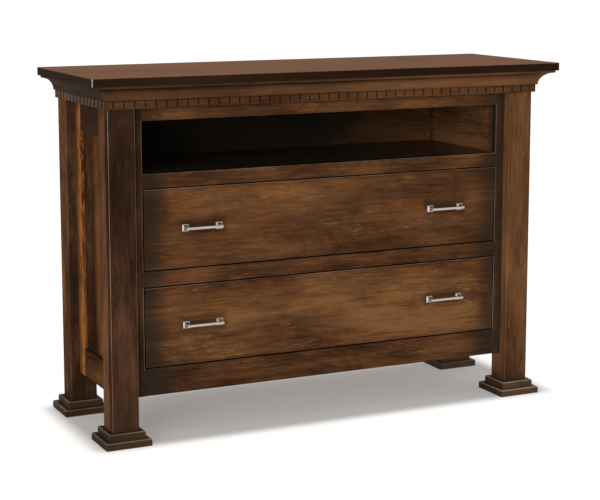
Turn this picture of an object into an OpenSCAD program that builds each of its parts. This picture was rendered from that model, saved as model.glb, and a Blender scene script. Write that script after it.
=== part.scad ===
// Media chest: a wide two-drawer chest on four square posts, with an open
// compartment above the drawers, a coved cornice with a dentil strip, and
// stepped block feet. Millimetres, +Z up, front of the chest towards -Y.

/* [Overall] */
// Height from the floor to the top face
total_h = 970; // [920:1:1020]
// Width over the four posts
posts_w = 1278; // [1100:1:1400]
// Depth over the four posts
posts_d = 420; // [380:1:470]

/* [Top slab] */
// Thickness of the top
slab_t = 22.2; // [18:0.2:30]
// How far the top overhangs the posts at each side
slab_over_side = 57.5; // [52:0.5:70]
// How far the top overhangs the posts at the front
slab_over_front = 55; // [52:0.5:70]
// Radius of the top's two front corners, seen from above
slab_corner_r = 5; // [3:0.5:10]
// Radius of the top's long edges
slab_ease = 2.5; // [1:0.25:4]

/* [Cornice] */
// Height of the cove moulding
crown_h = 41; // [36:0.1:46]
// How far the cove moulding stands out from the posts at its top
crown_out = 47.5; // [44:0.5:50]
// Thickness of the cove moulding at its foot
crown_foot = 12; // [10:0.5:16]
// Height of the square fillet above the cove
crown_fillet_h = 6.5; // [4:0.5:9]
// Height of the dentil strip
dentil_h = 21.5; // [16:0.5:26]
// How far the dentil strip stands out from the posts
dentil_out = 7.5; // [5:0.5:9]
// Distance from one dentil slot to the next
dentil_pitch = 29.1; // [22:0.1:40]
// Width of a dentil slot
dentil_slot_w = 3.2; // [2:0.1:6]
// Depth of a dentil slot
dentil_slot_depth = 5; // [3:0.25:5]
// Height of the plain band under the slots
dentil_band_h = 3; // [3:0.25:7]

/* [Posts and feet] */
// Width of a post
post_w = 73.5; // [60:0.5:90]
// Depth of a post
post_d = 72.5; // [60:0.5:80]
// Radius of a post's long edges
post_ease = 2.5; // [1:0.25:4]
// Height of one tier of a foot
foot_tier_h = 19.5; // [16:0.5:24]
// How far each tier stands out from the one above it
foot_step = 13; // [12:0.5:16]
// Radius of the rounded top edge of a tier
foot_round = 5; // [2:0.5:9]

/* [Face frame] */
// How far the face frame lies behind the front of the posts
face_recess = 27.5; // [15:0.5:34]
// Thickness of the face frame
face_t = 20; // [18:0.5:24]
// Width of a face-frame stile beside a post
face_stile_w = 27.5; // [22:0.5:40]
// Height of the underside of the chest above the floor
apron_z = 119; // [100:1:140]
// Height of the bottom rail
rail_bottom_h = 73; // [60:0.5:90]
// Height of the rail between the drawers
rail_middle_h = 42; // [30:0.5:50]
// Height of the rail in front of the shelf
rail_shelf_h = 38.5; // [30:0.5:50]
// Visible height of the rail above the compartment
rail_top_h = 35.3; // [30:0.1:50]
// Height of the opening of the compartment
compartment_h = 138.5; // [120:0.5:150]
// Radius of the edges round the openings
opening_ease = 2; // [1:0.25:3]

/* [Side frames] */
// How far a side frame lies behind the side of the posts
side_recess = 25; // [15:0.5:30]
// Thickness of a side frame
side_t = 20; // [18:0.5:22]
// Width of a side-frame stile
side_stile_w = 50; // [40:1:60]
// Height of a side frame's bottom rail
side_rail_bottom_h = 79; // [60:1:100]
// Visible height of a side frame's top rail
side_rail_top_h = 82.3; // [60:0.1:100]
// Thickness of the flat panel in a side frame
side_panel_t = 6; // [5:0.5:8]
// Depth of the grooves that hold the side panel
groove_depth = 9; // [6:0.5:12]
// How far the side panel lies behind the outer face of its frame
side_panel_set = 7; // [5:0.5:8]

/* [Inside] */
// Thickness of the shelf of the compartment
shelf_t = 19; // [16:0.5:24]
// Depth of the housing in each gable that the shelf sits in
shelf_housing = 6; // [4:0.5:10]
// Thickness of the back panel
back_t = 6; // [5:0.5:10]
// Thickness of the two rails behind the back panel
rear_rail_t = 13; // [10:0.5:20]
// Height of the lower rear rail
rear_rail_bottom_h = 73; // [60:1:90]
// Height of the upper rear rail
rear_rail_top_h = 60; // [50:1:90]

/* [Drawers] */
// Gap round an inset drawer front
front_gap = 3; // [2:0.25:4]
// Thickness of a drawer front
front_t = 20; // [18:0.5:22]
// Radius of the front edges of a drawer front
front_ease = 2; // [1:0.25:4]
// Height of a drawer box
box_h = 178; // [150:1:185]
// Length of a drawer box behind its front
box_d = 345; // [330:1:348]
// Thickness of the four walls of a drawer box
box_wall = 12.5; // [10:0.5:15]
// Thickness of a drawer bottom
box_bottom_t = 6; // [5:0.5:8]
// Height of a drawer bottom above the lower edge of its box
box_bottom_z = 12; // [10:0.5:16]
// Depth of the grooves that hold a drawer bottom
box_groove = 6; // [4:0.5:7]
// Number of dovetails at each corner of a drawer box
tails = 4; // [3:1:6]
// Slope of the dovetails, in degrees
tail_slope = 9; // [6:1:12]

/* [Drawer slides] */
// Space that a slide takes between gable and drawer box
slide_w = 12.7; // [12:0.1:14]
// Height of a slide
slide_h = 45; // [42:1:50]
// How far the ends of a slide stay inside the length of its drawer box
slide_short = 2.5; // [1:0.5:12]
// Thickness of the steel of a slide
slide_steel = 1.2; // [1:0.1:1.5]
// Running gap between the members of a slide
slide_play = 0.35; // [0.3:0.05:0.5]
// Height of a row of balls between two members
slide_race = 4; // [3.5:0.25:5]
// How far the cabinet and middle members stay from the drawer box
slide_clear = 3.2; // [2.5:0.1:4]
// Space between the cage of a row of balls and the web of its member
cage_inset = 2; // [1.5:0.25:2.5]
// How far a cage stays behind the lip of its member
cage_end = 1; // [0.5:0.25:1.5]

/* [Pulls] */
// Distance between the two posts of a pull
pull_centres = 96; // [64:1:160]
// Distance from the end of a drawer's opening to the middle of its pull
pull_inset = 166.5; // [120:0.5:300]
// Height and depth of the square bar of a pull
pull_bar = 7; // [6:0.5:10]
// Radius of the edges of that bar
pull_ease = 1; // [0.5:0.1:1.5]
// How far the front of the bar stands out from the drawer front
pull_out = 23; // [20:0.5:35]
// Width of the square base of a pull's post
pull_base = 18.5; // [16:0.5:26]
// Thickness of the straight rim of that base
pull_rim = 2; // [1.5:0.25:3]
// Radius of the hollow from that rim to the neck, on all four sides
pull_cove = 8; // [6:0.5:12]
// Width of the square neck
pull_neck = 8.4; // [8:0.2:10]
// Radius of the screws of a pull
screw_r = 2; // [1.5:0.25:2.5]
// Radius of a screw head
screw_head_r = 4.5; // [3.5:0.25:6]
// Thickness of a screw head
screw_head_h = 2.5; // [2:0.25:3.5]
// Length of screw that a pull takes
screw_bite = 10; // [6:0.5:12]
// Clearance round a screw in the wood and in the pull
screw_play = 0.3; // [0.2:0.05:0.5]
// Depth of a pull's screw hole beyond the end of its screw
screw_spare = 1; // [0.5:0.25:2]

/* [Hidden] */
$fn = 48;
eps = 0.01;

wood = "saddlebrown";
dark_wood = "#4a2c1a";
pale_wood = "tan";
nickel = "silver";
steel = "lightslategray";

// Places along X, from the middle outwards
post_x = posts_w / 2;
post_in_x = post_x - post_w;
open_x = post_in_x - face_stile_w;
slab_x = post_x + slab_over_side;
side_x = post_x - side_recess;

// Places along Y; the origin is midway between the front of the top and the back of the feet
foot_out = 2 * foot_step;
front_y = (slab_over_front - posts_d - foot_out) / 2;
rear_y = front_y + posts_d;
face_y = front_y + face_recess;
face_back_y = face_y + face_t;
back_y = rear_y - rear_rail_t - back_t;

// Heights, from the top down and from the floor up
slab_z = total_h - slab_t;
crown_z = slab_z - crown_h;
dentil_z = crown_z - dentil_h;
foot_h = 2 * foot_tier_h;
compartment_top = dentil_z - rail_top_h;
shelf_top = compartment_top - compartment_h;
drawer_open_h = (shelf_top - rail_shelf_h - rail_middle_h - rail_bottom_h - apron_z) / 2;
lower_z = apron_z + rail_bottom_h;
middle_z = lower_z + drawer_open_h;
upper_z = middle_z + rail_middle_h;
shelf_rail_z = upper_z + drawer_open_h;

// Drawer boxes and slides
box_x = open_x - slide_w;
box_front_y = face_y + front_t;
box_rise = (drawer_open_h - box_h) / 2;
slide_y = box_front_y + slide_short;
slide_l = box_d - 2 * slide_short;
pull_hole_l = front_t + box_wall;
pull_x = open_x - pull_inset;

// Rectangle with its lower left corner at the origin and round corners
module rounded(w, h, r) {
    translate([r, 0]) square([w - 2 * r, h]);
    translate([0, r]) square([w, h - 2 * r]);
    for (x = [r, w - r], y = [r, h - r]) translate([x, y]) circle(r);
}

// Board whose edges along Z are rounded
module eased_z(size, r) {
    linear_extrude(size.z) rounded(size.x, size.y, r);
}

// Block whose edges are all rounded
module eased_block(size, r_plan, r) {
    intersection() {
        eased_z(size, r_plan);
        translate([0, size.y, 0]) rotate([90, 0, 0]) linear_extrude(size.y) rounded(size.x, size.z, r);
        rotate([90, 0, 90]) linear_extrude(size.x) rounded(size.y, size.z, r);
    }
}

// Waste that rounds an edge along X, whose corner lies on the X axis;
// the wood lies towards +Y and towards up (+1) or down (-1)
module round_over_x(l, r, up) {
    scale_z = up > 0 ? 0 : 1;
    mirror([0, 0, scale_z]) difference() {
        translate([-eps, -eps, -eps]) cube([l + 2 * eps, r + eps, r + eps]);
        translate([-2 * eps, r, r]) rotate([0, 90, 0]) cylinder(h = l + 4 * eps, r = r);
    }
}

// Waste that rounds an edge along Z, with the wood towards +Y and +X
module round_over_z(l, r) {
    difference() {
        translate([-eps, -eps, 0]) cube([r + eps, r + eps, l]);
        translate([r, r, -eps]) cylinder(h = l + 2 * eps, r = r);
    }
}

// The child once at the left, and once mirrored to the right
module both_sides() {
    children();
    mirror([1, 0, 0]) children();
}

// The child at the left (-1) or mirrored to the right (1)
module at_side(side) {
    mirror([side > 0 ? 1 : 0, 0, 0]) children();
}

module top_slab() {
    size = [2 * slab_x, rear_y - front_y + slab_over_front, slab_t];
    color(dark_wood)
        translate([-slab_x, front_y - slab_over_front, slab_z])
            eased_block(size, slab_corner_r, slab_ease);
}

// Section of the cove moulding: X outwards from the posts, Y up from its foot
module crown_section() {
    cove_w = crown_out - crown_foot;
    cove_h = crown_h - crown_fillet_h;
    difference() {
        square([crown_out, crown_h]);
        translate([crown_out, crown_h - crown_fillet_h - cove_w])
            circle(cove_w);
        if (cove_h > cove_w) translate([crown_foot, -eps]) square([cove_w + eps, cove_h - cove_w + eps]);
    }
}

module dentil_section() {
    square([dentil_out, dentil_h]);
}

// Moulding along the front, mitred at both corners
module front_moulding(out) {
    intersection() {
        translate([-post_x - out, front_y, 0]) rotate([90, 0, 90])
            linear_extrude(posts_w + 2 * out) mirror([1, 0]) children();
        mitre_plan_front(out);
    }
}

module mitre_plan_front(out) {
    linear_extrude(total_h)
        polygon([[-post_x - out, front_y - out], [post_x + out, front_y - out], [post_x, front_y], [-post_x, front_y]]);
}

// Moulding along the left side, mitred at the front and cut square at the back
module left_moulding(out) {
    intersection() {
        translate([-post_x, front_y - out, 0]) rotate([90, 0, 0]) mirror([0, 0, 1])
            linear_extrude(posts_d + out) mirror([1, 0]) children();
        linear_extrude(total_h)
            polygon([[-post_x, front_y], [-post_x, rear_y], [-post_x - out, rear_y], [-post_x - out, front_y - out]]);
    }
}

module crown_front() {
    color(wood) front_moulding(crown_out) translate([0, crown_z]) crown_section();
}

module crown_side(side) {
    color(wood) at_side(side) left_moulding(crown_out) translate([0, crown_z]) crown_section();
}

// Centres of the slots on a strip that runs from -half to half, with a whole tooth in its middle
function slot_places(half) =
    let (n = floor((half - dentil_slot_w) / dentil_pitch + 0.5))
    [for (i = [-n:n - 1]) (i + 0.5) * dentil_pitch];

module dentil_slots_front() {
    slot_h = dentil_h - dentil_band_h;
    for (x = slot_places(post_x))
        translate([x - dentil_slot_w / 2, front_y - dentil_out - eps, dentil_z + dentil_band_h])
            cube([dentil_slot_w, dentil_slot_depth + eps, slot_h + eps]);
}

module dentil_slots_left() {
    slot_h = dentil_h - dentil_band_h;
    for (y = slot_places(posts_d / 2))
        translate([-post_x - dentil_out - eps, (front_y + rear_y) / 2 + y - dentil_slot_w / 2, dentil_z + dentil_band_h])
            cube([dentil_slot_depth + eps, dentil_slot_w, slot_h + eps]);
}

module dentil_front() {
    color(wood) difference() {
        front_moulding(dentil_out) translate([0, dentil_z]) dentil_section();
        dentil_slots_front();
    }
}

module dentil_side(side) {
    color(wood) at_side(side) difference() {
        left_moulding(dentil_out) translate([0, dentil_z]) dentil_section();
        dentil_slots_left();
    }
}

// Square post at a corner; side is -1 or 1, end is 0 at the front and 1 at the back
module post(side, end) {
    y = end == 0 ? front_y : rear_y - post_d;
    color(wood) at_side(side)
        translate([-post_x, y, foot_h]) eased_z([post_w, post_d, slab_z - foot_h], post_ease);
}

// Section of a foot tier of width w: square below, with both top corners rounded
module tier_section(w) {
    square([w, foot_tier_h - foot_round]);
    translate([foot_round, 0]) square([w - 2 * foot_round, foot_tier_h]);
    for (x = [foot_round, w - foot_round])
        translate([x, foot_tier_h - foot_round]) intersection() {
            circle(foot_round);
            translate([-foot_round, 0]) square([2 * foot_round, foot_round]);
        }
}

// One tier, centred on the Z axis, with its rounded edge on all four sides
module foot_tier(w, d) {
    intersection() {
        translate([-w / 2, d / 2, 0]) rotate([90, 0, 0]) linear_extrude(d) tier_section(w);
        translate([-w / 2, -d / 2, 0]) rotate([90, 0, 90]) linear_extrude(w) tier_section(d);
    }
}

module foot(side, end) {
    y = end == 0 ? front_y + post_d / 2 : rear_y - post_d / 2;
    color(wood) at_side(side) translate([-post_x + post_w / 2, y, 0]) {
        foot_tier(post_w + 2 * foot_out, post_d + 2 * foot_out);
        translate([0, 0, foot_tier_h]) foot_tier(post_w + foot_out, post_d + foot_out);
    }
}

// Stile beside a front post, rounded where it borders an opening
module face_stile(side) {
    openings = [[lower_z, drawer_open_h], [upper_z, drawer_open_h], [shelf_top, compartment_h]];
    color(wood) at_side(side) difference() {
        translate([-post_in_x, face_y, apron_z]) cube([face_stile_w, face_t, slab_z - apron_z]);
        for (o = openings)
            translate([-open_x, face_y, o[0]]) mirror([1, 0, 0]) round_over_z(o[1], opening_ease);
    }
}

// Rail of the face frame from z, rounded at its lower and upper front edge if asked
module face_rail(z, h, round_low, round_high) {
    color(wood) difference() {
        translate([-open_x, face_y, z]) cube([2 * open_x, face_t, h]);
        if (round_low) translate([-open_x, face_y, z]) round_over_x(2 * open_x, opening_ease, 1);
        if (round_high) translate([-open_x, face_y, z + h]) round_over_x(2 * open_x, opening_ease, -1);
    }
}

// The top rail is stepped: its upper part comes forward to carry the cornice
module face_rail_top() {
    face_rail(compartment_top, slab_z - compartment_top, true, false);
    color(wood) translate([-post_in_x, front_y, dentil_z]) cube([2 * post_in_x, face_recess, slab_z - dentil_z]);
}

// Y where the left side frame starts and its length between the posts
side_y = front_y + post_d;
side_l = posts_d - 2 * post_d;
panel_z = apron_z + side_rail_bottom_h;
panel_top = dentil_z - side_rail_top_h;

// Slot for the panel, seen as the box the panel and the rails' tongues fill
module panel_space(inset) {
    y = side_y + side_stile_w - groove_depth + inset;
    z = panel_z - groove_depth + inset;
    translate([-side_x + side_panel_set, y, z])
        cube([side_panel_t, side_y + side_l - side_stile_w + groove_depth - inset - y,
              panel_top + groove_depth - inset - z]);
}

// Stile of a side frame; end is 0 at the front post and 1 at the rear post
module side_stile(side, end) {
    y = end == 0 ? side_y : side_y + side_l - side_stile_w;
    color(wood) at_side(side) difference() {
        translate([-side_x, y, apron_z]) cube([side_t, side_stile_w, dentil_z - apron_z]);
        side_groove();
    }
}

// Groove along the inner edges of both stiles, from the bottom rail to the top
module side_groove() {
    translate([-side_x + side_panel_set, side_y + side_stile_w - groove_depth, apron_z - eps])
        cube([side_panel_t, side_l - 2 * side_stile_w + 2 * groove_depth, dentil_z - apron_z + 2 * eps]);
}

// Rail of a side frame between the stiles, with a tongue at each end for their grooves
module side_rail_body(z, h) {
    translate([-side_x, side_y + side_stile_w, z]) cube([side_t, side_l - 2 * side_stile_w, h]);
    translate([-side_x + side_panel_set, side_y + side_stile_w - groove_depth, z])
        cube([side_panel_t, side_l - 2 * side_stile_w + 2 * groove_depth, h]);
}

module side_rail_bottom(side) {
    color(wood) at_side(side) difference() {
        side_rail_body(apron_z, side_rail_bottom_h);
        panel_space(0);
    }
}

// The top rail's head spans from post to post and comes out to their faces to carry the cornice
module side_rail_top(side) {
    color(wood) at_side(side) {
        difference() {
            side_rail_body(panel_top, side_rail_top_h);
            panel_space(0);
        }
        translate([-post_x, side_y, dentil_z]) cube([side_recess + side_t, side_l, slab_z - dentil_z]);
    }
}

module side_panel(side) {
    color(wood) at_side(side) panel_space(0);
}

// Gable: the inner side wall, from post to post, that carries the slides and the shelf
module gable(side) {
    color(wood) at_side(side) difference() {
        translate([-post_in_x, face_back_y, apron_z])
            cube([face_stile_w, back_y - face_back_y, slab_z - apron_z]);
        translate([-open_x - shelf_housing, face_back_y - eps, shelf_top - shelf_t])
            cube([shelf_housing + eps, back_y - face_back_y + 2 * eps, shelf_t]);
    }
}

module media_shelf() {
    shelf_x = open_x + shelf_housing;
    color(dark_wood) translate([-shelf_x, face_back_y, shelf_top - shelf_t])
        cube([2 * shelf_x, back_y - face_back_y, shelf_t]);
}

module back_panel() {
    color(wood) translate([-post_in_x, back_y, apron_z]) cube([2 * post_in_x, back_t, slab_z - apron_z]);
}

module rear_rail(z, h) {
    color(wood) translate([-post_in_x, rear_y - rear_rail_t, z]) cube([2 * post_in_x, rear_rail_t, h]);
}

// Sections of the slide members: X from the gable towards the drawer box, Y up from the middle
track_out = slide_h / 2 - slide_steel;
track_mid = track_out - slide_race;
track_in = track_mid - slide_steel - slide_race;
lip = slide_w - slide_clear;

module cabinet_member_section() {
    difference() {
        translate([0, -slide_h / 2]) square([lip, slide_h]);
        translate([slide_steel, -track_out]) square([lip, 2 * track_out]);
    }
}

// The middle member, with each row of balls and its cage as a plain strip on both sides of its flanges
module middle_member_section() {
    x = slide_steel + slide_play;
    outer_x = x + cage_inset;
    inner_x = outer_x + cage_end;
    cage_h = slide_race - slide_play + eps;
    translate([x, -track_mid]) square([slide_steel, 2 * track_mid]);
    for (s = [0, 1]) mirror([0, s]) {
        translate([x, track_mid - slide_steel]) square([lip - x, slide_steel]);
        translate([outer_x, track_mid - eps]) square([lip - cage_end - outer_x, cage_h]);
        translate([inner_x, track_in + slide_play]) square([lip - cage_end - inner_x, cage_h]);
    }
}

module drawer_member_section() {
    x = 2 * (slide_steel + slide_play) + slide_steel;
    difference() {
        translate([x, -track_in]) square([slide_w - x, 2 * track_in]);
        translate([x - eps, -track_in + slide_steel]) square([slide_w - slide_steel - x + eps, 2 * (track_in - slide_steel)]);
    }
}

// A pair of slide members, from their section, at the height of a drawer's opening
module slide_pair(z) {
    color(steel) both_sides()
        translate([-open_x, slide_y, z + drawer_open_h / 2]) rotate([90, 0, 0]) mirror([0, 0, 1])
            linear_extrude(slide_l) children();
}

module slide_cabinet_members() {
    for (z = [lower_z, upper_z]) slide_pair(z) cabinet_member_section();
}

module slide_middle_members(z) {
    slide_pair(z) middle_member_section();
}

module slide_drawer_members(z) {
    slide_pair(z) drawer_member_section();
}

// Centres of the pull screws across a drawer
function screw_places() =
    [for (s = [-1, 1], e = [-1, 1]) s * pull_x + e * pull_centres / 2];

// Waste of the screw holes through a drawer front and the box front behind it
module screw_holes(z) {
    for (x = screw_places())
        translate([x, face_y - eps, z + drawer_open_h / 2]) rotate([-90, 0, 0])
            cylinder(h = pull_hole_l + 2 * eps, r = screw_r + screw_play);
}

module drawer_front(z) {
    size = [2 * (open_x - front_gap), front_t, drawer_open_h - 2 * front_gap];
    back_part = 2 * front_ease;
    color(wood) difference() {
        translate([-open_x + front_gap, face_y, z + front_gap]) union() {
            eased_block(size, front_ease, front_ease);
            translate([0, back_part, 0]) cube([size.x, front_t - back_part, size.z]);
        }
        screw_holes(z);
    }
}

// Dovetails of one corner, as seen from the side: tails on the side boards, X along the drawer, Y up.
// The tails widen towards X = 0, which is the outer face of the front or back board.
module tail_row(play) {
    pitch = box_h / tails;
    flare = box_wall * tan(tail_slope);
    narrow = pitch / 2 - flare;
    for (i = [0:tails - 1])
        translate([0, (i + 0.5) * pitch])
            polygon([[-play, -narrow / 2 - flare], [box_wall, -narrow / 2], [box_wall, narrow / 2], [-play, narrow / 2 + flare]]);
}

// Tails of the whole side of a box as waste or as wood: both ends, through the thickness of one side board
module corner_tails(z, play) {
    for (end = [0, 1])
        translate([-box_x - play, box_front_y + end * box_d, z + box_rise])
            mirror([0, end, 0]) rotate([90, 0, 90]) linear_extrude(box_wall + 2 * play) tail_row(play);
}

module bottom_space(z) {
    x = box_x - box_wall + box_groove;
    translate([-x, box_front_y + box_wall - box_groove, z + box_rise + box_bottom_z])
        cube([2 * x, box_d - 2 * (box_wall - box_groove), box_bottom_t]);
}

module box_side(side, z) {
    color(pale_wood) at_side(side) difference() {
        union() {
            translate([-box_x, box_front_y + box_wall, z + box_rise])
                cube([box_wall, box_d - 2 * box_wall, box_h]);
            corner_tails(z, 0);
        }
        bottom_space(z);
    }
}

// Front (end 0) or back (end 1) board of a box, with the pins between the tails
module box_end(end, z) {
    y = box_front_y + end * (box_d - box_wall);
    color(pale_wood) difference() {
        translate([-box_x, y, z + box_rise]) cube([2 * box_x, box_wall, box_h]);
        both_sides() corner_tails(z, eps);
        bottom_space(z);
        screw_holes(z);
    }
}

module box_bottom(z) {
    color(pale_wood) bottom_space(z);
}

// Side view of a pull's post, Y pointing into the drawer: a square rim, a hollow and a straight neck up to the bar
module pull_post_section() {
    base = pull_base / 2;
    neck = pull_neck / 2;
    hollow_l = sqrt(pow(pull_cove, 2) - pow(pull_cove - base + neck, 2));
    neck_y = -pull_rim - hollow_l;
    bar_y = -pull_out + pull_bar;
    difference() {
        translate([-base, bar_y - eps]) square([2 * base, eps - bar_y]);
        for (s = [0, 1]) mirror([s, 0]) {
            translate([neck + pull_cove, neck_y]) circle(pull_cove);
            translate([neck, bar_y - 1]) square([base, neck_y - bar_y + 1]);
        }
    }
}

// One post of a pull, with the same section seen from the side and from above
module pull_post() {
    intersection() {
        translate([0, 0, -pull_base / 2]) linear_extrude(pull_base) pull_post_section();
        rotate([0, 90, 0]) translate([0, 0, -pull_base / 2]) linear_extrude(pull_base) pull_post_section();
    }
}

// A pull: a square bar, as long as its two posts are apart outside, drilled for its screws
module pull(side, z) {
    half = pull_centres / 2;
    bar_l = pull_centres + pull_neck;
    color(nickel) translate([side * pull_x, face_y, z + drawer_open_h / 2]) difference() {
        union() {
            for (x = [-half, half]) translate([x, 0, 0]) pull_post();
            translate([-bar_l / 2, -pull_out, -pull_bar / 2])
                eased_block([bar_l, pull_bar, pull_bar], pull_ease, pull_ease);
        }
        for (x = [-half, half]) translate([x, eps, 0]) rotate([90, 0, 0])
            cylinder(h = screw_bite + screw_spare, r = screw_r + screw_play);
    }
}

// Four screws from inside the box, with their heads on its front board
module pull_screws(z) {
    color(steel) for (x = screw_places())
        translate([x, face_y + pull_hole_l, z + drawer_open_h / 2]) rotate([90, 0, 0]) {
            cylinder(h = pull_hole_l + screw_bite, r = screw_r);
            translate([0, 0, -screw_head_h]) cylinder(h = screw_head_h, r = screw_head_r);
        }
}

top_slab();
crown_front();
crown_side(-1);  // crown_left
crown_side(1);  // crown_right
dentil_front();
dentil_side(-1);  // dentil_left
dentil_side(1);  // dentil_right
post(-1, 0);  // post_front_left
post(1, 0);  // post_front_right
post(-1, 1);  // post_rear_left
post(1, 1);  // post_rear_right
foot(-1, 0);  // foot_front_left
foot(1, 0);  // foot_front_right
foot(-1, 1);  // foot_rear_left
foot(1, 1);  // foot_rear_right
face_stile(-1);  // face_stile_left
face_stile(1);  // face_stile_right
face_rail(apron_z, rail_bottom_h, true, true);  // face_rail_bottom
face_rail(middle_z, rail_middle_h, true, true);  // face_rail_middle
face_rail(shelf_rail_z, rail_shelf_h, true, true);  // face_rail_shelf
face_rail_top();
side_stile(-1, 0);  // side_stile_front_left
side_stile(-1, 1);  // side_stile_rear_left
side_rail_bottom(-1);  // side_rail_bottom_left
side_rail_top(-1);  // side_rail_top_left
side_panel(-1);  // side_panel_left
side_stile(1, 0);  // side_stile_front_right
side_stile(1, 1);  // side_stile_rear_right
side_rail_bottom(1);  // side_rail_bottom_right
side_rail_top(1);  // side_rail_top_right
side_panel(1);  // side_panel_right
gable(-1);  // gable_left
gable(1);  // gable_right
media_shelf();
back_panel();
rear_rail(apron_z, rear_rail_bottom_h);  // rear_rail_bottom
rear_rail(slab_z - rear_rail_top_h, rear_rail_top_h);  // rear_rail_top
slide_cabinet_members();
slide_middle_members(upper_z);  // upper_slide_middle_members
slide_drawer_members(upper_z);  // upper_slide_drawer_members
drawer_front(upper_z);  // upper_drawer_front
box_end(0, upper_z);  // upper_box_front
box_end(1, upper_z);  // upper_box_back
box_side(-1, upper_z);  // upper_box_left
box_side(1, upper_z);  // upper_box_right
box_bottom(upper_z);  // upper_box_bottom
pull(-1, upper_z);  // upper_pull_left
pull(1, upper_z);  // upper_pull_right
pull_screws(upper_z);  // upper_pull_screws
slide_middle_members(lower_z);  // lower_slide_middle_members
slide_drawer_members(lower_z);  // lower_slide_drawer_members
drawer_front(lower_z);  // lower_drawer_front
box_end(0, lower_z);  // lower_box_front
box_end(1, lower_z);  // lower_box_back
box_side(-1, lower_z);  // lower_box_left
box_side(1, lower_z);  // lower_box_right
box_bottom(lower_z);  // lower_box_bottom
pull(-1, lower_z);  // lower_pull_left
pull(1, lower_z);  // lower_pull_right
pull_screws(lower_z);  // lower_pull_screws
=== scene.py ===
import math

import bpy
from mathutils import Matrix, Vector


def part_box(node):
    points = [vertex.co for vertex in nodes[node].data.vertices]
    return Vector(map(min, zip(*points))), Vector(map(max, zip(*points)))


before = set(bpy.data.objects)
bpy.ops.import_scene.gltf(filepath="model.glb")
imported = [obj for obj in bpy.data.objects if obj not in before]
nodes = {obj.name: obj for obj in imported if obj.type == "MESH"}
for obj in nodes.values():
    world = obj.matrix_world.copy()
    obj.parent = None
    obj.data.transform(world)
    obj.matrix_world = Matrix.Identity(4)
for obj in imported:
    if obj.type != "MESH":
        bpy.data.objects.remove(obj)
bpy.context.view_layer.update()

# camera, fitted to the chest's corners in a 600 x 500 picture
cameraView = {
    "place": (-1.9585, -4.0807, 1.2789),
    "lookDown": 8.56,      # degrees
    "turn": 25.59,         # degrees to the right of +Y
    "lens": 96.9,
    "shiftY": -0.09,
    "farthest": 300,
}
camera = bpy.data.objects.new("camera", bpy.data.cameras.new("camera"))
camera.location = cameraView["place"]
camera.rotation_euler = (math.radians(90 - cameraView["lookDown"]), 0, math.radians(-cameraView["turn"]))
camera.data.lens = cameraView["lens"]
camera.data.shift_y = cameraView["shiftY"]
camera.data.clip_end = cameraView["farthest"]
bpy.context.scene.collection.objects.link(camera)
bpy.context.scene.camera = camera
bpy.context.scene.view_settings.view_transform = "Standard"
print("camera placed")


# node trees: each input is a value or another node's output
def addNode(tree, kind, inputs=(), **settings):
    node = tree.nodes.new(kind)
    for key, value in settings.items():
        setattr(node, key, value)
    for key, value in dict(inputs).items():
        if isinstance(value, bpy.types.NodeSocket):
            tree.links.new(value, node.inputs[key])
        else:
            node.inputs[key].default_value = value
    return node


def maths(tree, operation, first, second=0.5, third=0.5):
    node = addNode(tree, "ShaderNodeMath", {0: first, 1: second, 2: third}, operation=operation)
    return node.outputs[0]


def vectorMaths(tree, operation, first, second=(0, 0, 0)):
    node = addNode(tree, "ShaderNodeVectorMath", {0: first, 1: second}, operation=operation)
    return node.outputs[0]


def dotOf(tree, vector, towards):
    node = addNode(tree, "ShaderNodeVectorMath", {0: vector, 1: towards}, operation="DOT_PRODUCT")
    return node.outputs["Value"]


def partsOf(tree, vector):
    return addNode(tree, "ShaderNodeSeparateXYZ", {0: vector}).outputs


def partAlong(tree, vector, axis):
    return partsOf(tree, vector)["xyz".index(axis)]


def clamped(tree, value):
    return addNode(tree, "ShaderNodeClamp", {0: value}).outputs[0]


def stretch(tree, value, low, high, toLow=0.0, toHigh=1.0, smooth=False):
    node = addNode(tree, "ShaderNodeMapRange", {0: value, 1: low, 2: high, 3: toLow, 4: toHigh})
    node.interpolation_type = "SMOOTHSTEP" if smooth else "LINEAR"
    return node.outputs[0]


def mixed(tree, share, first, second, blend="MIX"):
    colours = [value if isinstance(value, bpy.types.NodeSocket) else (*value, 1) for value in (first, second)]
    node = addNode(tree, "ShaderNodeMix", {"Factor": share, 6: colours[0], 7: colours[1]},
                   data_type="RGBA", blend_type=blend)
    return node.outputs[2]


def noiseAt(tree, place, perMetre, detail, roughness):
    scaled = vectorMaths(tree, "MULTIPLY", place, perMetre)
    node = addNode(tree, "ShaderNodeTexNoise", {
        "Vector": scaled, "Scale": 1.0, "Detail": detail, "Roughness": roughness})
    return node.outputs["Fac"]


def newTree(name, inputs, outputs):
    tree = bpy.data.node_groups.new(name, "ShaderNodeTree")
    for label, kind in inputs:
        tree.interface.new_socket(label, in_out="INPUT", socket_type=kind)
    for label, kind in outputs:
        tree.interface.new_socket(label, in_out="OUTPUT", socket_type=kind)
    return tree, tree.nodes.new("NodeGroupInput"), tree.nodes.new("NodeGroupOutput")


def newMaterial(name):
    material = bpy.data.materials.new(name)
    material.use_nodes = True
    tree = material.node_tree
    return material, tree, tree.nodes["Principled BSDF"]


def putOn(name, material):
    nodes[name].data.materials.clear()
    nodes[name].data.materials.append(material)


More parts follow.
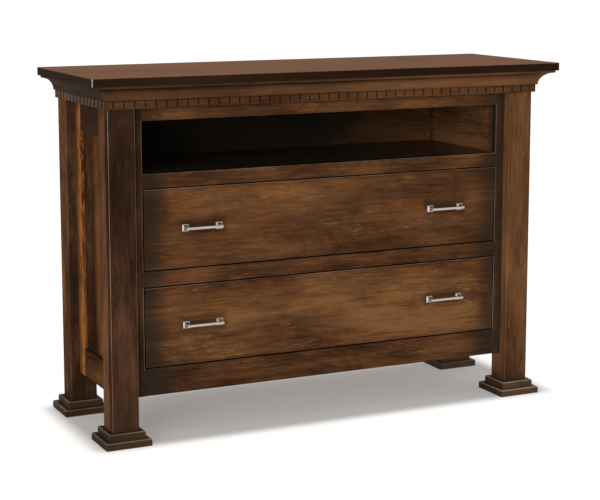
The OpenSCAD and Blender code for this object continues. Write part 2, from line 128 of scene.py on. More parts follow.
# maple figure; the grain runs along X of the vector that comes in, in metres
# a noise is its features per metre along the grain and across it, its detail and its roughness
mapleFigure = {
    "middle": 0.52,        # tone before anything is added
    "wander": 0.004,       # how far the lines of the grain wander, in metres
    "wanderScale": (1.8, 5, 5),
    "rings": 18.0,         # growth lines over the range of their noise
    "ringNoise": ((0.9, 4.5, 4.5), 1.0, 0.4),
    "ringSharpness": 3.0,
    "ringDepth": 0.10,
    "layers": {            # noise, depth of the tone
        "clouds": (((1.7, 5, 5), 1.5, 0.5), 0.62),
        "blotches": (((5.5, 17, 17), 3.0, 0.5), 0.50),
        "mottle": (((20, 58, 58), 3.0, 0.6), 0.19),
        "streaks": (((9, 170, 170), 4.0, 0.62), 0.34),
        "lines": (((30, 600, 600), 3.0, 0.6), 0.28),
    },
    "curlLean": 0.5,       # radians that the curl leans from square to the grain
    "curlNoise": ((60, 26, 26), 3.0, 0.5),
    "curlPatches": ((4, 7, 7), 1.0, 0.5),
    "curlFrom": (0.52, 0.66),    # values of the patches' noise where the curl begins and is full
    "curlDepth": 0.20,
    "fleckNoise": ((38, 170, 170), 3.0, 0.6),
    "fleckShape": (0.54, 0.72),
    "fleckPatches": ((6, 15, 15), 2.0, 0.5),
    "fleckFrom": (0.45, 0.65),
    "fleckDepth": 0.42,
    "warmNoise": ((6, 26, 26), 4.0, 0.6),
    "warmFrom": (0.50, 0.66),
}


def makeMapleFigure():
    tree, inlet, outlet = newTree(
        "mapleFigure", [("Place", "NodeSocketVector")],
        [("Tone", "NodeSocketFloat"), ("Warmth", "NodeSocketFloat"), ("Lines", "NodeSocketFloat")])
    look = mapleFigure
    place = inlet.outputs[0]
    wander = addNode(tree, "ShaderNodeTexNoise", {
        "Vector": vectorMaths(tree, "MULTIPLY", place, look["wanderScale"]), "Scale": 1.0, "Detail": 1.0})
    shift = vectorMaths(tree, "SUBTRACT", wander.outputs["Color"], (0.5, 0.5, 0.5))
    shift = vectorMaths(tree, "MULTIPLY", shift, (0, 2 * look["wander"], 2 * look["wander"]))
    along = vectorMaths(tree, "ADD", place, shift)

    slow = noiseAt(tree, along, *look["ringNoise"])
    rings = maths(tree, "ABSOLUTE", maths(tree, "SINE", maths(tree, "MULTIPLY", slow, look["rings"] * math.pi)))
    rings = maths(tree, "POWER", maths(tree, "SUBTRACT", 1.0, rings), look["ringSharpness"])
    tone = maths(tree, "MULTIPLY_ADD", rings, -look["ringDepth"], look["middle"])

    for noise, depth in look["layers"].values():
        layer = noiseAt(tree, along, *noise)
        tone = maths(tree, "MULTIPLY_ADD", maths(tree, "SUBTRACT", layer, 0.5), 2 * depth, tone)
    lines = layer    # the last layer is also the relief of the wood

    leaning = addNode(tree, "ShaderNodeMapping", {
        "Vector": place, "Rotation": (0, look["curlLean"], look["curlLean"])}).outputs[0]
    curl = maths(tree, "SUBTRACT", noiseAt(tree, leaning, *look["curlNoise"]), 0.5)
    curlWhere = stretch(tree, noiseAt(tree, place, *look["curlPatches"]), *look["curlFrom"], smooth=True)
    tone = maths(tree, "MULTIPLY_ADD", maths(tree, "MULTIPLY", curl, curlWhere), 2 * look["curlDepth"], tone)

    flecks = stretch(tree, noiseAt(tree, along, *look["fleckNoise"]), *look["fleckShape"])
    fleckWhere = stretch(tree, noiseAt(tree, place, *look["fleckPatches"]), *look["fleckFrom"], smooth=True)
    tone = maths(tree, "MULTIPLY_ADD", maths(tree, "MULTIPLY", flecks, fleckWhere), look["fleckDepth"], tone)

    warmth = stretch(tree, noiseAt(tree, along, *look["warmNoise"]), *look["warmFrom"], smooth=True)
    for label, socket in (("Tone", tone), ("Warmth", warmth), ("Lines", lines)):
        tree.links.new(socket, outlet.inputs[label])
    return tree


# where the small eased edges of a board are, by the way the surface turns, for the painted highlight on them
easedEdge = {
    "slant": (0.97, 0.80),         # largest part of the normal: on a face, on an edge
    "underside": (-0.35, -0.15),   # upward part of the normal below which an edge stays dark, as if unlit
    "undersideShare": 0.15,
    "upright": (0.1, 0.3),         # upward part of the normal: on an upright edge, on a level one
}


def makeEdgeDistance():
    tree, inlet, outlet = newTree(
        "edgeDistance", [("Middle", "NodeSocketVector"), ("Half", "NodeSocketVector")],
        [("Distance", "NodeSocketFloat"), ("Ends", "NodeSocketVector"),
         ("Eased", "NodeSocketFloat"), ("Upright", "NodeSocketFloat")])
    where = addNode(tree, "ShaderNodeTexCoord")
    fromMiddle = vectorMaths(tree, "SUBTRACT", where.outputs["Object"], inlet.outputs["Middle"])
    inside = vectorMaths(tree, "SUBTRACT", inlet.outputs["Half"], vectorMaths(tree, "ABSOLUTE", fromMiddle))
    facing = vectorMaths(tree, "ABSOLUTE", where.outputs["Normal"])
    clear = vectorMaths(tree, "ADD", inside, facing)    # a metre more across the face, so its own side never counts
    parts = partsOf(tree, clear)
    nearest = maths(tree, "MINIMUM", maths(tree, "MINIMUM", parts[0], parts[1]), parts[2])
    turned = partsOf(tree, facing)
    most = maths(tree, "MAXIMUM", maths(tree, "MAXIMUM", turned[0], turned[1]), turned[2])
    eased = stretch(tree, most, *easedEdge["slant"], smooth=True)
    upwards = partAlong(tree, where.outputs["Normal"], "z")
    lit = stretch(tree, upwards, *easedEdge["underside"], easedEdge["undersideShare"], 1.0)
    eased = maths(tree, "MULTIPLY", eased, lit)
    upright = maths(tree, "MULTIPLY", eased, stretch(tree, turned[2], *easedEdge["upright"], 1.0, 0.0))
    for label, socket in (("Distance", nearest), ("Ends", clear), ("Eased", eased), ("Upright", upright)):
        tree.links.new(socket, outlet.inputs[label])
    return tree


figureTree = makeMapleFigure()
edgeTree = makeEdgeDistance()
print("wood figure ready")

# colours of the stain, as linear values
stain = {
    "tones": [             # from the darkest figure to the lightest
        (-0.25, (0.0066, 0.0046, 0.0030)),
        (0.00, (0.020, 0.0095, 0.0048)),
        (0.30, (0.046, 0.0205, 0.0095)),
        (0.55, (0.092, 0.0400, 0.0165)),
        (0.80, (0.150, 0.0660, 0.0260)),
        (1.00, (0.215, 0.0980, 0.0390)),
    ],
    "warmTint": (1.18, 1.01, 0.70),
    "glazeAndShade": (0.031, 0.0205, 0.0130),   # colour of the glaze along edges and ends, which also stands for painted shade beside the posts and gaps
    "wearAndHighlight": (0.34, 0.25, 0.18),       # colour of the painted highlight on eased edges, partly rubbed wear
    "paintedShadeColour": (0.0165, 0.0140, 0.0095),  # colour of the painted shade on the faces inside the compartment where it is darkest, and on the feet
    "orangeStreakColour": (0.40, 0.135, 0.034),    # colour of the one bright orange streak
    "edgeShare": 0.55,                  # share of the glaze and painted shade at an edge along the grain
    "endStart": 0.2,                    # part of a glazed and shaded end that is fully dark
    "glazeAndShadeByTone": (-0.55, 1.2),        # the glaze and painted shade are thinner on light figure
    "wearAndHighlightByTone": (0.2, 0.8, 0.4, 1.3),  # the painted highlight and rubbing are stronger on light figure
    "lines": (0.3, 0.7),                # range of the fine lines, for roughness and relief
    "roughSpread": (-0.05, 0.07),       # change of the roughness over that range
    "relief": {"Strength": 0.25, "Distance": 0.0003},
    "apart": (3.17, 1.93, 2.41),        # metres between two boards in the figure
}

# painted highlight on a tooth of the dentil strip: how far its light part reaches, as parts of the pitch
toothLight = (0.03, 0.17)

# painted shadow round a pull, in metres from its middle
pullShadowZone = {"halfLength": 0.052, "halfHeight": 0.008, "fade": 0.022}

# edge and holes of the bright orange streak
orangeStreakEdge = {
    "raggedNoise": ((55, 55, 20), 5.0, 0.62),
    "core": 0.55,          # part of the streak's half width that is full
    "share": 0.92,
    "spotNoise": ((95, 95, 26), 4.0, 0.65),
    "spots": (0.42, 0.54),
}
grainTurns = {"x": (0, 0, 0), "y": (0, 0, -math.pi / 2), "z": (0, math.pi / 2, 0)}

# what every board has unless its own entry below says otherwise
plainBoard = {
    "lift": 0.0,           # tone added to the whole board
    "calm": 1.0,           # contrast of the figure
    "warm": 0.6,           # strength of the warm patches
    "edge": 0.007,         # width of the glaze and painted shade along the edges, in metres
    "end": 0.03,           # width of the glaze and painted shade at the ends of the grain, in metres
    "endDark": 0.6,        # share of the glaze and painted shade there
    "edgeWearAndHighlight": 0.4,            # how strong the painted highlight and rubbed wear on the eased edges are
    "uprightWearAndHighlight": 0.0,     # the same, more on upright edges only
    "rough": 0.42,
    "gloss": 0.02,         # specular level
    "slope": None,         # tone per metre along X, Y and Z
    "fades": (),           # (axis, from, to, tone before, tone after)
    "facing": (),          # painted light and shade by the way a face turns: (direction, dot from, dot to, tone before, tone after)
    "teeth": None,         # painted highlight on the teeth: (axis, middle of one tooth, pitch, tone)
    "toothHighlight": 0.0,
    "pulls": None,         # painted shadow round the pulls: (X, Z, tone)
    "tint": None,
    "glazeAndShade": stain["glazeAndShade"],
    "wearAndHighlight": stain["wearAndHighlight"],
    "uprightHighlightFade": None,       # Z where the painted highlight of an upright edge is least and most
    "paintedShadeSide": None,     # painted shade on the faces that turn one way: (direction, axis, from, to, share before, share after)
    "orangeStreak": None,           # ragged bright orange streak: (axis, middle, half width, wander)
}
# share of the painted highlight on an upright edge where it is least
uprightHighlightLeast = 0.15

# painted shade: tone that a board loses on the faces in its gaps
shadeInFrameGaps = [((0, -1, 0), 0.80, 0.50, 0.0, -0.60)]
shadeInDrawerGaps = [((0, -1, 0.3), 0.72, 0.50, 0.0, -0.60), ((-1, 0, 0), 0.7, 0.9, 0.0, -0.40)]

# the boards that differ from the plain one
boards = {
    # painted shade on the slab's sides, darker than its top, and a painted highlight on its upright corners
    "top_slab": {
        "lift": 0.09, "calm": 0.22, "edge": 0.004, "end": 0.004, "gloss": 0.014, "rough": 0.6,
        "edgeWearAndHighlight": 0.06, "uprightWearAndHighlight": 0.99, "wearAndHighlight": (0.42, 0.36, 0.31),
        "facing": [((0, 0, 1), 0.6, 0.4, 0.0, -0.59), ((-1, 0, 0), 0.5, 0.8, 0.0, -0.08)]},
    # painted light and shade on the cove and fillet: lighter where it faces forward and along the fillet, darker
    # just below the fillet and above the dentils
    "crown_front": {
        "lift": 0.05, "calm": 0.5, "warm": 0.0, "edge": 0.001, "end": 0.005, "edgeWearAndHighlight": 0.0, "gloss": 0.03,
        "slope": (0.10, 0, 0), "facing": [((0, -1, 0), 0.45, 0.85, -0.22, 0.10)],
        "fades": [("z", 0.9410, 0.9420, 0.0, 0.18), ("z", 0.9340, 0.9405, 0.0, -0.28),
                  ("z", 0.9070, 0.9110, -0.28, 0.0)]},
    "crown_left": {
        "lift": -0.12, "calm": 0.7, "warm": 0.0, "edge": 0.001, "end": 6.0, "endDark": 0.85, "edgeWearAndHighlight": 0.0,
        "gloss": 0.002},
    # painted light and shade: lighter where the face turns to the right
    "crown_right": {
        "lift": -0.1, "warm": 0.0, "edge": 0.001, "end": 0.005, "edgeWearAndHighlight": 0.0,
        "facing": [((1, 0, 0), 0.45, 0.85, -0.28, 0.13)]},
    # painted shade on the faces that do not face forward, and a painted shadow under the crown's edge
    "dentil_front": {
        "calm": 0.7, "edge": 0.003, "end": 0.005, "facing": [((0, -1, 0), 0.8, 0.5, 0.0, -0.6)],
        "fades": [("z", 0.9035, 0.9068, 0.0, -0.25)]},
    "dentil_left": {
        "lift": -0.34, "warm": 0.0, "edge": 0.003, "end": 0.005, "gloss": 0.012,
        "teeth": ("y", 0.0145, 0.0291, 0.20), "toothHighlight": 0.22},
    # painted shade on the faces that do not face right
    "dentil_right": {
        "lift": -0.12, "warm": 0.2, "edge": 0.003, "end": 0.005,
        "facing": [((1, 0, 0), 0.8, 0.5, 0.0, -0.3)]},
    # painted highlight on the upright edges, weaker towards the bottom
    "post_front_left": {
        "lift": 0.32, "calm": 0.8, "warm": 0.1, "tint": (1.0, 1.02, 1.25), "slope": (0, 0, -0.26),
        "uprightWearAndHighlight": 0.6, "uprightHighlightFade": (0.10, 0.45), "edge": 0.014, "end": 0.16, "endDark": 0.55,
        "gloss": 0.0, "facing": [((-1, 0, 0), 0.3, 0.7, 0.0, 0.02)],
        "fades": [("y", -0.180, -0.165, -0.45, 0.0)]},
    # painted light on the face that turns to the left
    "post_front_right": {
        "lift": 0.16, "calm": 0.85, "slope": (0, 0, 0.15), "edgeWearAndHighlight": 0.22,
        "facing": [((-1, 0, 0), 0.3, 0.7, 0.0, 0.20)]},
    # painted shade on the face that turns forward, in the side's recess
    "post_rear_left": {
        "lift": 0.20, "warm": 0.2, "tint": (1.05, 1.10, 1.35), "gloss": 0.0, "edgeWearAndHighlight": 0.05,
        "facing": [((0, -1, 0), 0.5, 0.8, 0.0, -0.24)]},
    "side_stile_rear_left": {
        "lift": 0.14, "gloss": 0.0, "edge": 0.012, "orangeStreak": ("y", 0.116, 0.018, 0.017)},
    "side_rail_top_left": {"lift": -0.30, "calm": 0.5, "warm": 0.0, "gloss": 0.002},
    # painted shade near the rear stile, lighter towards the front
    "side_panel_left": {
        "warm": 0.8, "gloss": 0.0, "edge": 0.012, "fades": [("y", -0.005, 0.035, 0.20, -0.20)]},
    "side_stile_front_left": {"warm": 0.4, "gloss": 0.0},
    "side_rail_bottom_left": {"lift": -0.1, "warm": 0.4, "gloss": 0.0},
    # painted highlight on the upright edges beside the openings
    "face_stile_left": {
        "lift": -0.3, "warm": 0.1, "edge": 0.002, "uprightWearAndHighlight": 0.36, "wearAndHighlight": (0.46, 0.40, 0.33),
        "facing": shadeInFrameGaps},
    # painted highlight on the upright edges beside the openings
    "face_stile_right": {
        "lift": -0.16, "warm": 0.0, "edge": 0.03, "glazeAndShade": (0.040, 0.029, 0.020),
        "edgeWearAndHighlight": 0.1, "uprightWearAndHighlight": 0.40, "wearAndHighlight": (0.42, 0.36, 0.31), "facing": shadeInFrameGaps},
    # painted shadow under the dentil strip; the dark ends next to the posts are glaze and painted shade
    "face_rail_top": {
        "lift": 0.09, "warm": 0.9, "end": 0.13, "endDark": 0.9, "gloss": 0.0, "facing": shadeInFrameGaps,
        "fades": [("z", 0.8760, 0.8853, 0.0, -0.40)]},
    # the rails below: their dark ends next to the posts are glaze and painted shade
    "face_rail_shelf": {
        "lift": 0.09, "edge": 0.002, "end": 0.10, "endDark": 1.0, "edgeWearAndHighlight": 0.6, "gloss": 0.0,
        "facing": shadeInFrameGaps},
    "face_rail_middle": {
        "warm": 0.5, "edge": 0.002, "end": 0.10, "endDark": 0.9, "edgeWearAndHighlight": 0.1, "gloss": 0.0,
        "facing": shadeInFrameGaps},
    "face_rail_bottom": {
        "lift": 0.01, "warm": 0.4, "edge": 0.003, "end": 0.12, "endDark": 1.15, "edgeWearAndHighlight": 0.1, "gloss": 0.0,
        "facing": shadeInFrameGaps, "fades": [("x", -0.44, -0.20, -0.29, 0.0)]},
    # painted shade at both ends beside the posts and towards the right, painted shadow round the pull, and a
    # painted highlight on the level edges only
    "upper_drawer_front": {
        "lift": 0.14, "calm": 0.85, "edge": 0.010, "end": 0.070, "endDark": 0.90,
        "edgeWearAndHighlight": 0.7, "uprightWearAndHighlight": -0.7, "gloss": 0.0, "slope": (-0.13, 0, 0),
        "pulls": (0.3715, 0.56325, -0.26), "facing": shadeInDrawerGaps,
        "fades": [("x", 0.10, 0.45, 0.0, -0.12), ("x", -0.58, -0.40, -0.34, 0.0)]},
    # painted shade at both ends beside the posts and towards the right, painted shadow round the pull, and a
    # painted highlight on the level edges only
    "lower_drawer_front": {
        "lift": 0.25, "edge": 0.010, "end": 0.075, "endDark": 0.85,
        "edgeWearAndHighlight": 0.7, "uprightWearAndHighlight": -0.7, "gloss": 0.0, "slope": (0.05, 0, 0),
        "pulls": (0.3715, 0.30175, -0.26), "facing": shadeInDrawerGaps,
        "fades": [("x", 0.25, 0.50, 0.0, -0.15), ("x", -0.59, -0.40, -0.38, 0.0),
                  ("z", 0.32, 0.38, 0.04, -0.12)]},
    # painted shade inside the compartment, darkest towards the left
    "media_shelf": {
        "lift": -0.24, "calm": 0.5, "warm": 0.1, "gloss": 0.2, "rough": 0.3,
        "paintedShadeSide": ((0, 0, 1), "x", 0.2, 0.65, 0.95, 0.1)},
    # painted shade on the inner face of the back, darkest towards the left
    "back_panel": {
        "lift": -0.04, "calm": 0.8, "warm": 0.1, "end": 0.02, "gloss": 0.0,
        "paintedShadeSide": ((0, -1, 0), "x", 0.15, 0.48, 0.95, 0.0)},
    "gable_right": {"lift": 0.45, "calm": 1.25, "warm": 0.7, "slope": (0, 0.75, 0)},
    "gable_left": {"warm": 0.4},
}

# the four feet, glazed all over
footBoard = {
    "lift": 0.10, "warm": 0.0, "edge": 0.001, "end": 6.0, "endDark": 0.85, "edgeWearAndHighlight": 0.5, "gloss": 0.015,
    # painted shade on the feet's faces that turn to the left
    "glazeAndShade": (0.037, 0.0255, 0.0165), "paintedShadeSide": ((-1, 0, 0), "x", -1.0, 1.0, 0.35, 0.35)}
feetThatDiffer = {
    "front_right": {"lift": 0.36, "endDark": 0.90, "edgeWearAndHighlight": 0.9, "glazeAndShade": (0.058, 0.042, 0.029),
                    "paintedShadeSide": ((-1, 0, 0), "x", -1.0, 1.0, 0.55, 0.55)},
    # painted light: the rear right foot, in shade under the chest, is made lighter
    "rear_right": {"lift": 0.36, "endDark": 0.90, "glazeAndShade": (0.075, 0.058, 0.042)},
}
for corner in ("front_left", "front_right", "rear_left", "rear_right"):
    boards["foot_" + corner] = {**footBoard, **feetThatDiffer.get(corner, {})}


def teethShare(tree, place, teeth):
    axis, middle, pitch = teeth[:3]
    turns = maths(tree, "MULTIPLY_ADD", partAlong(tree, place, axis), 1 / pitch, 0.5 - middle / pitch)
    fromTooth = maths(tree, "ABSOLUTE", maths(tree, "SUBTRACT", maths(tree, "FRACT", turns), 0.5))
    return stretch(tree, fromTooth, *toothLight, 1.0, 0.0, True)


# painted shadow round each pull on a drawer front
def pullShadowTone(tree, place, pulls):
    pullX, pullZ, toneThere = pulls
    parts = partsOf(tree, place)
    aside = maths(tree, "ABSOLUTE", maths(tree, "SUBTRACT", maths(tree, "ABSOLUTE", parts[0]), pullX))
    above = maths(tree, "ABSOLUTE", maths(tree, "SUBTRACT", parts[2], pullZ))
    beyond = maths(tree, "MAXIMUM", maths(tree, "SUBTRACT", aside, pullShadowZone["halfLength"]),
                   maths(tree, "SUBTRACT", above, pullShadowZone["halfHeight"]))
    return stretch(tree, beyond, 0.0, pullShadowZone["fade"], toneThere, 0.0, True)


def boardTone(tree, where, figureTone, toothShare, look, middle):
    place, normal = where.outputs["Object"], where.outputs["Normal"]
    tone = maths(tree, "MULTIPLY_ADD", figureTone, look["calm"], 0.5 - 0.5 * look["calm"] + look["lift"])
    if look["slope"]:
        fromMiddle = vectorMaths(tree, "SUBTRACT", place, middle)
        tone = maths(tree, "ADD", tone, dotOf(tree, fromMiddle, look["slope"]))
    for axis, here, there, toneHere, toneThere in look["fades"]:
        tone = maths(tree, "ADD", tone, stretch(
            tree, partAlong(tree, place, axis), here, there, toneHere, toneThere, True))
    if look["teeth"]:
        tone = maths(tree, "MULTIPLY_ADD", toothShare, look["teeth"][3], tone)
    if look["pulls"]:
        tone = maths(tree, "ADD", tone, pullShadowTone(tree, place, look["pulls"]))
    # painted light and shade, by the way the face turns
    for towards, low, high, toLow, toHigh in look["facing"]:
        tone = maths(tree, "ADD", tone, stretch(tree, dotOf(tree, normal, towards), low, high, toLow, toHigh))
    return tone


def stainColour(tree, tone):
    darkest, lightest = stain["tones"][0][0], stain["tones"][-1][0]
    ramp = addNode(tree, "ShaderNodeValToRGB", {0: stretch(tree, tone, darkest, lightest)})
    ramp.color_ramp.interpolation = "LINEAR"
    for index, (at, colour) in enumerate(stain["tones"]):
        share = (at - darkest) / (lightest - darkest)
        stop = ramp.color_ramp.elements[index] if index < 2 else ramp.color_ramp.elements.new(share)
        stop.position = share
        stop.color = (*colour, 1)
    return ramp.outputs[0]


# glaze, partly painted shade, along the edges and at the ends of the grain
def glazeAndShadeShare(tree, edges, figureTone, look):
    narrow = stretch(tree, edges.outputs["Distance"], 0.0, look["edge"], stain["edgeShare"], 0.0, True)
    fromEnd = partAlong(tree, edges.outputs["Ends"], look["grain"])
    wide = stretch(tree, fromEnd, stain["endStart"] * look["end"], look["end"], look["endDark"], 0.0, True)
    uneven = maths(tree, "MULTIPLY_ADD", figureTone, *stain["glazeAndShadeByTone"])
    return clamped(tree, maths(tree, "MULTIPLY", maths(tree, "MAXIMUM", narrow, wide), uneven))


# painted shade: share of the shade colour on the faces turned one way
def paintedShadeShare(tree, where, paintedShadeSide):
    towards, axis, here, there, shareHere, shareThere = paintedShadeSide
    turn = clamped(tree, dotOf(tree, where.outputs["Normal"], towards))
    place = partAlong(tree, where.outputs["Object"], axis)
    return maths(tree, "MULTIPLY", turn, stretch(tree, place, here, there, shareHere, shareThere))


def orangeStreakShare(tree, where, orangeStreak):
    axis, middle, half, wander = orangeStreak
    place = where.outputs["Object"]
    ragged = noiseAt(tree, place, *orangeStreakEdge["raggedNoise"])
    aside = maths(tree, "ADD", partAlong(tree, place, axis), maths(
        tree, "MULTIPLY_ADD", ragged, 2 * wander, -middle - wander))
    share = stretch(tree, maths(tree, "ABSOLUTE", aside), orangeStreakEdge["core"] * half, half, orangeStreakEdge["share"], 0.0, True)
    spots = stretch(tree, noiseAt(tree, place, *orangeStreakEdge["spotNoise"]), *orangeStreakEdge["spots"])
    return maths(tree, "MULTIPLY", share, spots)


# painted highlight, partly rubbed wear, along the eased edges
def wearAndHighlightShare(tree, where, edges, figureTone, toothShare, look):
    share = maths(tree, "MULTIPLY", edges.outputs["Eased"], look["edgeWearAndHighlight"])
    if look["teeth"]:
        share = maths(tree, "MULTIPLY_ADD", toothShare, look["toothHighlight"], share)
    upright = look["uprightWearAndHighlight"]
    if look["uprightHighlightFade"]:
        height = partAlong(tree, where.outputs["Object"], "z")
        upright = stretch(tree, height, *look["uprightHighlightFade"], uprightHighlightLeast * upright, upright)
    share = maths(tree, "MULTIPLY_ADD", edges.outputs["Upright"], upright, share)
    return maths(tree, "MULTIPLY", share, stretch(tree, figureTone, *stain["wearAndHighlightByTone"]))


def addFigure(tree, where, seed, apart, grain):
    turned = addNode(tree, "ShaderNodeMapping", {
        "Vector": where.outputs["Object"], "Location": [seed * step for step in apart],
        "Rotation": grainTurns[grain]})
    figure = addNode(tree, "ShaderNodeGroup", node_tree=figureTree)
    tree.links.new(turned.outputs[0], figure.inputs[0])
    return figure


def stainedMaple(name, node, look):
    lowest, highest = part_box(node)
    material, tree, shader = newMaterial(name)
    where = addNode(tree, "ShaderNodeTexCoord")
    figure = addFigure(tree, where, look["seed"], stain["apart"], look["grain"])
    edges = addNode(tree, "ShaderNodeGroup", node_tree=edgeTree)
    for key, value in (("Middle", (lowest + highest) / 2), ("Half", (highest - lowest) / 2)):
        edges.inputs[key].default_value = value
    figureTone = figure.outputs["Tone"]
    toothShare = teethShare(tree, where.outputs["Object"], look["teeth"]) if look["teeth"] else 0.0

    colour = stainColour(tree, boardTone(tree, where, figureTone, toothShare, look, (lowest + highest) / 2))
    warmShare = maths(tree, "MULTIPLY", figure.outputs["Warmth"], look["warm"])
    colour = mixed(tree, warmShare, colour, stain["warmTint"], "MULTIPLY")
    if look["tint"]:
        colour = mixed(tree, 1.0, colour, look["tint"], "MULTIPLY")
    colour = mixed(tree, glazeAndShadeShare(tree, edges, figureTone, look), colour, look["glazeAndShade"])
    if look["paintedShadeSide"]:
        colour = mixed(tree, paintedShadeShare(tree, where, look["paintedShadeSide"]), colour, stain["paintedShadeColour"])
    if look["orangeStreak"]:
        colour = mixed(tree, orangeStreakShare(tree, where, look["orangeStreak"]), colour, stain["orangeStreakColour"])
    colour = mixed(tree, wearAndHighlightShare(tree, where, edges, figureTone, toothShare, look), colour, look["wearAndHighlight"])
    tree.links.new(colour, shader.inputs["Base Color"])

    smoothest, roughest = (look["rough"] + change for change in stain["roughSpread"])
    rough = stretch(tree, figure.outputs["Lines"], *stain["lines"], smoothest, roughest)
    tree.links.new(rough, shader.inputs["Roughness"])
    bump = addNode(tree, "ShaderNodeBump", {**stain["relief"], "Height": figure.outputs["Lines"]})
    tree.links.new(bump.outputs[0], shader.inputs["Normal"])
    shader.inputs["Specular IOR Level"].default_value = look["gloss"]
    return material


def grainOf(name):
    if name.endswith(("_left", "_right")) and name.startswith(("crown", "dentil", "side_rail", "gable")):
        return "y"
    if name.startswith(("post", "face_stile", "side_stile", "side_panel")):
        return "z"
    return "x"


def isStained(name):
    return not any(word in name for word in ("slide", "box", "pull"))


stainedNodes = sorted(name for name in nodes if isStained(name))
for number, name in enumerate(stainedNodes):
    look = {**plainBoard, "grain": grainOf(name), "seed": 1.0 + number, **boards.get(name, {})}
    putOn(name, stainedMaple("stained_" + name, name, look))
print("stained maple on", len(stainedNodes), "boards")

# clear-lacquered maple of the drawer boxes
boxMaple = {
    "light": (0.56, 0.38, 0.21), "dark": (0.40, 0.25, 0.125), "rough": 0.45, "gloss": 0.25,
    "apart": (2.3, 1.1, 3.7)}


def drawerBoxMaple(name, grain, seed):
    material, tree, shader = newMaterial(name)
    where = addNode(tree, "ShaderNodeTexCoord")
    figure = addFigure(tree, where, seed, boxMaple["apart"], grain)
    colour = mixed(tree, figure.outputs["Tone"], boxMaple["dark"], boxMaple["light"])
    tree.links.new(colour, shader.inputs["Base Color"])
    shader.inputs["Roughness"].default_value = boxMaple["rough"]
    shader.inputs["Specular IOR Level"].default_value = boxMaple["gloss"]
    return material


boxNodes = sorted(name for name in nodes if "_box_" in name)
for number, name in enumerate(boxNodes):
    grain = "y" if name.endswith(("left", "right")) else "x"
    putOn(name, drawerBoxMaple("maple_" + name, grain, 1.0 + number))
print("clear maple on", len(boxNodes), "drawer box boards")

# metals: brushed satin nickel for the pulls, zinc for slides and screws
metals = {
    "satinNickel": {
        "colour": (0.86, 0.83, 0.80), "shade": 0.9, "rough": 0.42,
        "brushNoise": ((40, 2400, 2400), 3.0, 0.6),
        "upwards": (0.19, 0.21, 0.21),     # painted reflection: the plate is darker where it faces the ceiling
        "forwards": (0.47, 0.42, 0.385)},  # painted reflection, darker too where it faces the room
    "zincSteel": {
        "colour": (0.55, 0.56, 0.57), "shade": 0.8, "rough": 0.36,
        "brushNoise": ((1500, 30, 1500), 3.0, 0.6)},
}
brushed = {
    "patchNoise": ((60, 60, 60), 2.0, 0.5), "patches": (0.35, 0.65), "turn": (0.25, 0.6),
    "lines": (0.3, 0.7), "roughSpread": (-0.06, 0.08), "relief": {"Strength": 0.15, "Distance": 0.0001}}


def metal(name, look):
    material, tree, shader = newMaterial(name)
    where = addNode(tree, "ShaderNodeTexCoord")
    lines = noiseAt(tree, where.outputs["Object"], *look["brushNoise"])
    patchy = noiseAt(tree, where.outputs["Object"], *brushed["patchNoise"])
    dark = [value * look["shade"] for value in look["colour"]]
    colour = mixed(tree, stretch(tree, patchy, *brushed["patches"]), dark, look["colour"])
    # painted reflection, by the way the plate turns
    for key, towards in (("forwards", (0, -1, 0)), ("upwards", (0, 0, 1))):
        if key in look:
            turn = dotOf(tree, where.outputs["Normal"], towards)
            colour = mixed(tree, stretch(tree, turn, *brushed["turn"], smooth=True), colour, look[key])
    tree.links.new(colour, shader.inputs["Base Color"])
    smoothest, roughest = (look["rough"] + change for change in brushed["roughSpread"])
    rough = stretch(tree, lines, *brushed["lines"], smoothest, roughest)
    tree.links.new(rough, shader.inputs["Roughness"])
    bump = addNode(tree, "ShaderNodeBump", {**brushed["relief"], "Height": lines})
    tree.links.new(bump.outputs[0], shader.inputs["Normal"])
    shader.inputs["Metallic"].default_value = 1.0
    return material


nickel = metal("satin_nickel_brushed", metals["satinNickel"])
zinc = metal("zinc_steel_drawn", metals["zincSteel"])
for name in nodes:
    if "slide" in name or name.endswith("pull_screws"):
        putOn(name, zinc)
    elif "_pull_" in name:
        putOn(name, nickel)
print("metal finishes on pulls, slides and screws")

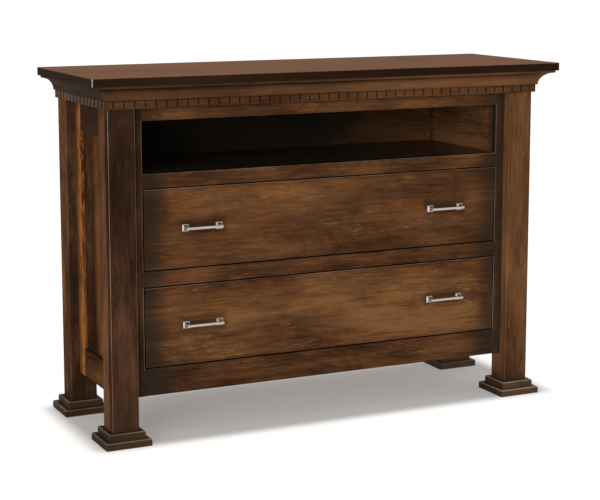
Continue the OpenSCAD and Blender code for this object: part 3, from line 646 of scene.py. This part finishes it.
# floor and light
studio = {
    "floorSize": 160,
    "floorColour": (0.70, 0.695, 0.69),
    "glowColour": (1.0, 0.945, 0.90),
    "floorGlow": 0.227,          # what the floor shows where no light reaches it
    "fill": 0.27,
    "suns": {
        "overhead": {"strength": 2.7, "angle": 4.0, "from": (-0.01, -0.027, 1.0)},
        "key": {"strength": 1.72, "angle": 35, "from": (-0.66, -0.75, 0.15)},
        "right": {"strength": 0.25, "angle": 50, "from": (0.9, -0.4, 0.6)},
    },
}


def seenDirectly(tree):
    path = addNode(tree, "ShaderNodeLightPath").outputs
    seen = maths(tree, "MAXIMUM", path["Is Camera Ray"], path["Is Glossy Ray"])
    return maths(tree, "MAXIMUM", seen, path["Is Transmission Ray"])


def makeFloor():
    bpy.ops.mesh.primitive_plane_add(size=studio["floorSize"], location=(0, 0, 0))
    floor = bpy.context.active_object
    floor.name = "floor"
    material, tree, shader = newMaterial("pale_floor")
    shader.inputs["Base Color"].default_value = (*studio["floorColour"], 1)
    shader.inputs["Roughness"].default_value = 1.0
    shader.inputs["Specular IOR Level"].default_value = 0.0
    shader.inputs["Emission Color"].default_value = (*studio["glowColour"], 1)
    glow = maths(tree, "MULTIPLY", seenDirectly(tree), studio["floorGlow"])
    tree.links.new(glow, shader.inputs["Emission Strength"])
    floor.data.materials.append(material)


# the backdrop is white where it is seen, and fills softly everywhere else
def makeWorld():
    world = bpy.data.worlds.new("studio")
    world.use_nodes = True
    bpy.context.scene.world = world
    tree = world.node_tree
    background = tree.nodes["Background"]
    background.inputs["Color"].default_value = (1, 1, 1, 1)
    strength = stretch(tree, seenDirectly(tree), 0, 1, studio["fill"], 1.0)
    tree.links.new(strength, background.inputs["Strength"])


def makeSun(name, look):
    light = bpy.data.objects.new(name, bpy.data.lights.new(name, "SUN"))
    light.data.energy = look["strength"]
    light.data.angle = math.radians(look["angle"])
    light.rotation_euler = Vector(look["from"]).to_track_quat("Z", "Y").to_euler()
    bpy.context.scene.collection.objects.link(light)


makeFloor()
makeWorld()
for name, look in studio["suns"].items():
    makeSun(name, look)
print("floor and lights placed")
